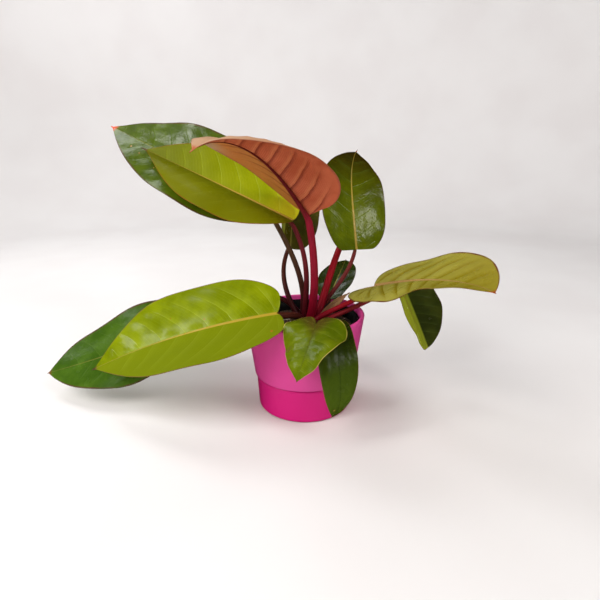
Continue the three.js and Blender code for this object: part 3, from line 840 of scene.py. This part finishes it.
hangingRight = dict(
    blade=dict(
        base=[118.9, 35.1, 136.9], heading=-23.1, sweep=10.2, rise=-64, droop=3.3, roll=-40.2, twist=-7.2,
        length=88.8, width=75.5, lobe=8.3, ear=0.49, wide=0.33, point=0.77, fold=44, foldSkew=-0.7,
        cup=-7.4, cupSkew=10, tipCup=8, tipSkew=5.4, wave=1.5, needle=0.5, veins=7,
    ),
    petiole=dict(foot=[14, -5, 104], knee=[34, -10, 112], neck=[76, 14, 124], radius=2.9),
    look=dict(
        green, face=(46, 54, 8), patch=(58, 66, 12), halfFace=(166, 174, 46), halfDark=(154, 164, 40),
        halfSide=1, halfShift=0.12, ribWide=0.8, rib=(150, 96, 66), under=(112, 122, 24),
        underPatch=(126, 132, 40), flecks=(140, 76, 44),
    ),
    stalkLook=dict(redStalk, low=(104, 14, 26), high=(136, 44, 46)),
)
makeLeaf("hanging_right", hangingRight)

uprightRight = dict(
    blade=dict(
        base=[59.5, 10, 188], heading=107.7, sweep=-36.8, rise=73.8, droop=52.7, bend=1.16, roll=-8.2,
        twist=-12.5, length=147, width=81.4, lobe=0.7, ear=0.46, point=1.06, fold=7.6, foldSkew=1.3,
        cup=-2.2, cupSkew=-4.2, tipCup=-2, wave=1.5, needle=8, veins=7,
    ),
    petiole=dict(foot=[14, 9, 104], knee=[20, 17, 126], neck=[52, 15, 148], radius=2.6),
    look=dict(
        green, face=(76, 88, 0), patch=(94, 106, 2), far=(44, 34, 2), rib=(160, 136, 56), ribWide=1.6,
        ribEnd=0.35, tip=(170, 24, 24), tipFrom=0.985, shine=0.3, gloss=0.18, pucker=2.5,
    ),
    stalkLook=dict(brownStalk, low=(90, 20, 26), high=(124, 50, 50)),
)
makeLeaf("upright_right", uprightRight)

innerBack = dict(
    blade=dict(
        base=[-18, 46, 183], heading=84, sweep=-4, rise=61, droop=22, roll=-38, twist=-7, length=136,
        width=70, lobe=2, ear=0.3, wide=0.36, fold=28, cup=20, wave=1.5, veins=7,
    ),
    petiole=dict(foot=[-5, -1, 104], knee=[-28, 14, 140], neck=[-30, 32, 160], radius=2.9),
    look=dict(
        green, face=(82, 80, 18), patch=(96, 92, 26), halfFace=(150, 160, 60), halfDark=(150, 160, 60),
        halfShift=0.5, under=(120, 134, 40), underPatch=(134, 142, 52),
    ),
    stalkLook=brownStalk,
)
makeLeaf("inner_back", innerBack)

lowBack = dict(
    blade=dict(
        base=[32, 40, 120], heading=58, sweep=14, rise=49, droop=34, roll=8, twist=-6, length=70, width=50,
        lobe=2, wide=0.36, point=1, fold=10, wave=1, veins=6,
    ),
    petiole=dict(foot=[7, 9, 104], knee=[12, 20, 112], neck=[24, 32, 112], radius=2.3),
    look=dict(green, face=(36, 50, 4), patch=(48, 68, 12), ribWide=0.9),
    stalkLook=brownStalk,
)
makeLeaf("low_back", lowBack)

backOrange = dict(
    blade=dict(
        base=[49, 40, 203], heading=75, rise=30, droop=12, length=165, width=76, lobe=4, fold=32, cup=15,
        wave=2, quilt=0.7,
    ),
    petiole=dict(foot=[13, 2, 104], knee=[22, 6, 126], neck=[32, 24, 170], radius=4.2),
    look=orange,
    stalkLook=redStalk,
)
makeLeaf("back_orange", backOrange)
print("stage: leaves")


# dry sheath beside the crown

sheath = dict(
    blade=dict(
        base=[19.4, -0.3, 108.4], heading=19, rise=48, droop=22, roll=-75, length=44, width=10, lobe=0,
        ear=0.6, wide=0.3, fold=24, wave=0.8, quilt=0,
    ),
    rows=40, columns=9, thickness=0.6,
    stripes=(0.6, 4.5, 1), grain=2.6, depth=0.0005, roughness=0.7,
    dark=(110, 80, 44), light=(172, 130, 88), foot=(118, 78, 52),
)


def makeSheath():
    leaf = {**bladeDefaults, **sheath["blade"]}
    points, t, a, _, _ = bladeGrid(leaf, sheath["rows"], np.linspace(0, 1, sheath["columns"]))
    both = platePoints(points, sheath["thickness"])
    upper, under, border = plateFaces(*points.shape[:2])
    material, shader = startMaterial("dry_skin")
    along, _, place = mapCoords(shader, "leafMap")
    stretch = addNode(shader, "Mapping")
    plug(place, stretch.inputs["Vector"])
    stretch.inputs["Scale"].default_value = sheath["stripes"]
    stripe = noise(stretch.outputs[0], sheath["grain"], 4, 0.7)
    color = blend(stripe, 0.38, 0.62, sheath["dark"], sheath["light"])
    color = mixColor(ramp(along, 0.1, 0.7, 0.6, 0), color, sheath["foot"])
    finishSkin(shader, color, sheath["roughness"], height=stripe, depth=sheath["depth"])
    faces = upper + under + border
    piece = addMesh("withered_sheath", both, faces, [material], {"leafMap": plateMap(t, a)})
    settle(piece, "sheath_straw", "dry_sheath")


makeSheath()


# crown: the short stem between the stalks

crown = dict(
    x=5, y=0, sides=48, steps=5,
    profile=[
        (0, 68), (11, 68), (15, 80), (15.2, 96), (14.6, 101), (13, 105), (10, 107.6), (6, 108.6), (0, 109),
    ],
    ridges=5, ridgeDepth=0.035, ridgeTurn=0.25, ringDepth=0.03, ringRun=1.1,  # left by old stalks
    grain=90, depth=0.001, roughness=0.6, bark=(70, 40, 30), scar=(110, 70, 48),
)


def makeCrown():
    p = crown
    profile = []
    for start, end in zip(p["profile"], p["profile"][1:]):
        profile += straight(start, end, p["steps"])
    points, rings = [], []
    for radius, height in profile[:-1]:
        rings.append(range(len(points), len(points) + p["sides"]))
        for k in range(p["sides"]):
            angle = 2 * math.pi * k / p["sides"]
            ridge = p["ridgeDepth"] * math.sin(p["ridges"] * angle + height * p["ridgeTurn"])
            ring = p["ringDepth"] * math.sin(height * p["ringRun"] + math.cos(angle))
            reach = radius * (1 + ridge + ring)
            points.append((p["x"] + reach * math.cos(angle), p["y"] + reach * math.sin(angle), height))
    material, shader = startMaterial("crown_skin")
    grain = noise(objectCoords(shader), p["grain"], 5, 0.65)
    color = blend(grain, 0.4, 0.65, p["bark"], p["scar"])
    finishSkin(shader, color, p["roughness"], height=grain, depth=p["depth"])
    piece = addMesh("crown_stem", points, tubeFaces(rings), [material])
    settle(piece, "crown_brown", "crown")


makeCrown()
print("stage: crown")


# outer pot

outerPot = dict(
    height=116, rimRadius=70, rimRound=2.2, stepHeight=42, stepRadius=60.3, stepDepth=2,
    stepEdge=[(-3.2, -0.5), (-3.2, 0.2), (-0.7, 0.2), (-0.2, 0.35), (0, 0.8)],  # from the step's corner
    baseRadius=56, baseFillet=3, middleRadius=30, floor=4, floorRadius=52,
    innerRim=[(64.9, 7), (64.6, 12)],  # radius and depth below the rim
    sides=160, color=(211, 22, 120), upperReflection=(221, 76, 154), stepShadow=(128, 6, 62),
    cloud=7, wear=12, roughness=0.3, shine=0.4,
)


def makeOuterPot():
    p = outerPot
    step, fillet, floor = p["stepHeight"], p["baseFillet"], p["floor"]
    lower = p["stepRadius"] - p["stepDepth"]
    top = p["height"] - p["rimRound"]
    profile = [(0, 0), (p["middleRadius"], 0), (p["baseRadius"] - fillet - 1, 0)]
    profile += arc(p["baseRadius"] - fillet, fillet, fillet, -90, 0, 8)
    profile += straight((p["baseRadius"], fillet), (lower, step - 0.6), 8)
    profile += [(p["stepRadius"] + out, step + up) for out, up in p["stepEdge"]]
    profile += straight((p["stepRadius"], step + 1), (p["rimRadius"], top), 14)[:-1]
    profile += arc(p["rimRadius"] - p["rimRound"], top, p["rimRound"], 0, 180, 14)
    profile += [(radius, p["height"] - down) for radius, down in p["innerRim"]]
    profile += [(p["floorRadius"], floor), (p["middleRadius"], floor), (0, floor)]
    material, shader = startMaterial("pot_plastic")
    coords = objectCoords(shader)
    height = separate(coords)[2]
    patchy = ramp(noise(coords, p["cloud"]), 0.2, 0.8, 0.7, 1)
    # painted reflection: the upper part is paler, in patches
    upper = ramp(height, (step - 1) * mm, (step + 1) * mm)  # the upper part is paler
    color = mixColor(times(upper, patchy), p["color"], p["upperReflection"])
    # painted shadow: a dark line just under the step's overhang
    above = ramp(height, (step - 0.9) * mm, (step - 0.5) * mm)
    below = ramp(height, (step + 0.3) * mm, (step + 0.7) * mm, 1, 0)
    color = mixColor(times(above, below), color, p["stepShadow"])  # dark line under the step
    wear = noise(coords, p["wear"], 2)
    dull = ramp(wear, 0.2, 0.8, p["roughness"], p["roughness"] + 0.08)
    finishSkin(shader, color, dull, p["shine"])
    piece = turnedMesh("round_pot", profile, p["sides"], [material])
    settle(piece, "pot_magenta", "outer_pot")


makeOuterPot()


# black nursery pot inside

nurseryPot = dict(
    height=107, gap=0.3, bottomRadius=47, chamfer=2, wall=1.4,
    rimRadius=60.5, neckRadius=59.5, rimWidth=2.4, rimDepth=5, rimRound=0.9,
    lipUnder=[(-1, 0), (-0.4, 0.3)], sides=144,
    color=(5, 5, 6), dust=(46, 40, 34), dustScale=60, depth=0.0002, roughness=0.6, shine=0.2,
)


def makeNurseryPot():
    p = nurseryPot
    bottom = outerPot["floor"] + p["gap"]
    top = bottom + p["height"]
    lip = p["rimRadius"] + p["rimWidth"]
    inner = p["rimRadius"] - p["wall"]
    neck = top - p["rimDepth"]
    corner = (p["bottomRadius"], bottom + p["chamfer"])
    profile = [(0, bottom), (p["bottomRadius"] - p["chamfer"], bottom), corner]
    profile += straight(corner, (p["neckRadius"], neck), 10)
    profile += [(lip + out, neck + up) for out, up in p["lipUnder"]]
    profile += arc(lip - p["rimRound"], top - p["rimRound"], p["rimRound"], 0, 180, 8)
    profile += [(lip - 2.2, top - 1.6), (inner, top - 2.2), (inner - 0.8, top - 8)]
    profile += [(p["bottomRadius"] - p["wall"], bottom + p["wall"]), (0, bottom + p["wall"])]
    material, shader = startMaterial("nursery_plastic")
    dust = noise(objectCoords(shader), p["dustScale"], 4, 0.6)
    color = mixColor(ramp(dust, 0.58, 0.72, 0, 0.5), p["color"], p["dust"])
    dull = ramp(dust, 0.3, 0.7, p["roughness"] - 0.06, p["roughness"] + 0.2)
    finishSkin(shader, color, dull, p["shine"], dust, p["depth"])
    piece = turnedMesh("black_pot", profile, p["sides"], [material])
    settle(piece, "pot_black", "nursery_pot")


makeNurseryPot()
print("stage: pots")


# potting mix

mix = dict(
    rimHeight=99, dome=2.5, radius=57.6, bottom=6.2, bottomRadius=45, shoulder=97, rings=22, sides=96,
    lumpsAbove=98, lump=1.6, sunk=0.4, seed=7,
    grain=160, depth=0.002, roughness=0.92, crumbRoughness=0.9,
    dark=(34, 24, 18), light=(88, 62, 42), perlite=(196, 188, 174), perliteFrom=0.91,
)
crumb = dict(
    count=1500, margin=2.5, clear=15, sizes=(0.7, 0.9, 1.2, 1.7), lengths=(1, 1, 1.4, 2.4), lift=0.25,
    corners=[(1, 0, 0), (-1, 0, 0), (0, 1, 0), (0, -1, 0), (0, 0, 1), (0, 0, -1)],
    faces=[(4, 0, 2), (4, 2, 1), (4, 1, 3), (4, 3, 0), (5, 2, 0), (5, 1, 2), (5, 3, 1), (5, 0, 3)],
)


def mixHeight(radius):
    share = radius / mix["radius"]
    return mix["rimHeight"] + mix["dome"] * (1 - min(1, share)) ** 0.8


def makeMix():
    random.seed(mix["seed"])
    material, shader = startMaterial("mix_ground")
    lumps = noise(objectCoords(shader), mix["grain"], 6, 0.7)
    color = blend(lumps, 0.38, 0.66, mix["dark"], mix["light"])
    finishSkin(shader, color, mix["roughness"], height=lumps, depth=mix["depth"])
    profile = [(0, mix["bottom"]), (mix["bottomRadius"], mix["bottom"])]
    profile += [(mix["radius"] - 0.6, mix["shoulder"])]
    for k in range(mix["rings"] + 1):
        radius = mix["radius"] * (1 - k / mix["rings"])
        profile.append((radius, mixHeight(radius)))
    body = turnedMesh("potting_mix", profile, mix["sides"], [material])
    for vertex in body.data.vertices:
        x, y, z = (v / mm for v in vertex.co)
        if z > mix["lumpsAbove"] and math.hypot(x, y) < mix["radius"] - 1:
            vertex.co.z += (random.random() - mix["sunk"]) * mix["lump"] * mm
    settle(body, "potting_mix", "soil")


def makeCrumbs():
    # loose grains on the mix, none where the crown stands; their map holds two random tones
    material, shader = startMaterial("mix_crumbs")
    tone, kind, _ = mapCoords(shader, "crumbMap")
    color = mixColor(tone, mix["dark"], mix["light"])
    pale = ramp(kind, mix["perliteFrom"], mix["perliteFrom"] + 0.005)
    color = mixColor(pale, color, mix["perlite"])
    finishSkin(shader, color, mix["crumbRoughness"])
    points, faces, pairs = [], [], []
    for _ in range(crumb["count"]):
        reach = (mix["radius"] - crumb["margin"]) * math.sqrt(random.random())
        angle = random.uniform(0, 2 * math.pi)
        x, y = reach * math.cos(angle), reach * math.sin(angle)
        if math.hypot(x - crown["x"], y - crown["y"]) < crumb["clear"]:
            continue
        size = random.choice(crumb["sizes"]) * random.uniform(0.7, 1.3)
        long = random.choice(crumb["lengths"])
        turn = random.uniform(0, math.pi)
        start = len(points)
        tones = (random.random(), random.random())
        for px, py, pz in crumb["corners"]:
            px = px * size * long
            py = py * size * random.uniform(0.7, 1.1)
            pz = pz * size * random.uniform(0.5, 0.9)
            tilt = px * random.uniform(-0.15, 0.15)
            points.append((
                x + px * math.cos(turn) - py * math.sin(turn),
                y + px * math.sin(turn) + py * math.cos(turn),
                mixHeight(reach) + crumb["lift"] * size + pz + tilt,
            ))
            pairs.append(tones)
        faces += [tuple(start + i for i in side) for side in crumb["faces"]]
    crumbs = addMesh("mix_grains", points, faces, [material], {"crumbMap": pairs})
    crumbs.data.polygons.foreach_set("use_smooth", [False] * len(faces))
    settle(crumbs, "potting_mix")


makeMix()
makeCrumbs()
print("stage: potting mix")


# studio

studio = dict(
    wallStart=1500, wallEnd=2100, wallTop=2400, gap=0.15, sides=96,  # a round backdrop, in mm
    floor=(230, 228, 227), floorShade=(226, 223, 222), paperScale=4, paperRoughness=0.85,
    world=(236, 238, 242), worldStrength=0.42,
)
# lamps, with sizes and places in m; the mirrored ones give the leaves their gloss
lampDefaults = dict(target=(0, 0, 0.2), mirrored=True)
lamps = dict(
    key=dict(power=15, place=(-1.0, -1.15, 1.35), target=(0, 0, 0.15), size=(0.8, 0.8),
             color=(1.0, 0.98, 0.95), mirrored=False),
    fill=dict(power=2, place=(1.3, -0.6, 0.7), target=(0, 0, 0.15), size=(1, 1),
              color=(1.0, 0.93, 0.9), mirrored=False),
    wall=dict(power=8, place=(-0.7, 0.9, 1.5), target=(0.3, 2.2, 0.6), size=(0.8, 0.8),
              color=(0.98, 0.98, 1.0), mirrored=False),
    strip=dict(power=12, place=(-1.12, -0.57, 1.19), size=(0.25, 1.2), color=(1.0, 0.99, 0.97)),
    side=dict(power=5, place=(0.89, -0.89, 1.18), size=(0.3, 0.6), color=(1.0, 0.97, 0.94)),
    back=dict(power=7, place=(-0.84, 0.585, 1.3), size=(0.4, 1.1), color=(0.98, 0.99, 1.0)),
)


def makeBackdrop():
    material, shader = startMaterial("backdrop_paper")
    paper = noise(objectCoords(shader), studio["paperScale"], 2)
    color = blend(paper, 0.3, 0.7, studio["floor"], studio["floorShade"])
    finishSkin(shader, color, studio["paperRoughness"])
    start, end = studio["wallStart"], studio["wallEnd"]
    profile = [(0, 0), (start / 2, 0)] + arc(start, end - start, end - start, -90, 0, 10)
    profile = [(radius, height - studio["gap"]) for radius, height in profile + [(end, studio["wallTop"])]]
    floor = turnedMesh("backdrop", profile, studio["sides"], [material])
    floor.visible_glossy = False


def addLight(name, lampValues):
    values = {**lampDefaults, **lampValues}
    data = bpy.data.lights.new(name, "AREA")
    data.shape = "RECTANGLE"
    data.size, data.size_y = values["size"]
    data.energy = values["power"]
    data.color = values["color"]
    lamp = bpy.data.objects.new(name, data)
    lamp.visible_glossy = values["mirrored"]
    lamp.visible_camera = False
    lamp.location = values["place"]
    aim = Vector(values["target"]) - lamp.location
    lamp.rotation_euler = aim.to_track_quat("-Z", "Y").to_euler()
    scene.collection.objects.link(lamp)


makeBackdrop()
for lampName in lamps:
    addLight(lampName, lamps[lampName])
world = bpy.data.worlds.new("studio")
scene.world = world
world.use_nodes = True
world.cycles_visibility.glossy = False  # only lamps mirror in the leaves
background = world.node_tree.nodes["Background"]
plug(studio["world"], background.inputs["Color"])
plug(studio["worldStrength"], background.inputs["Strength"])
scene.view_settings.view_transform = "Standard"
print("stage: studio")


# camera at the photograph's place

cameraView = dict(place=(-0.0056, -0.5027, 0.2906), pitch=17.73, lens=27)
cameraData = bpy.data.cameras.new("camera")
cameraData.lens = cameraView["lens"]
cameraData.clip_start = 0.01
camera = bpy.data.objects.new("camera", cameraData)
camera.location = cameraView["place"]
camera.rotation_euler = (math.radians(90 - cameraView["pitch"]), 0, 0)
scene.collection.objects.link(camera)
scene.camera = camera
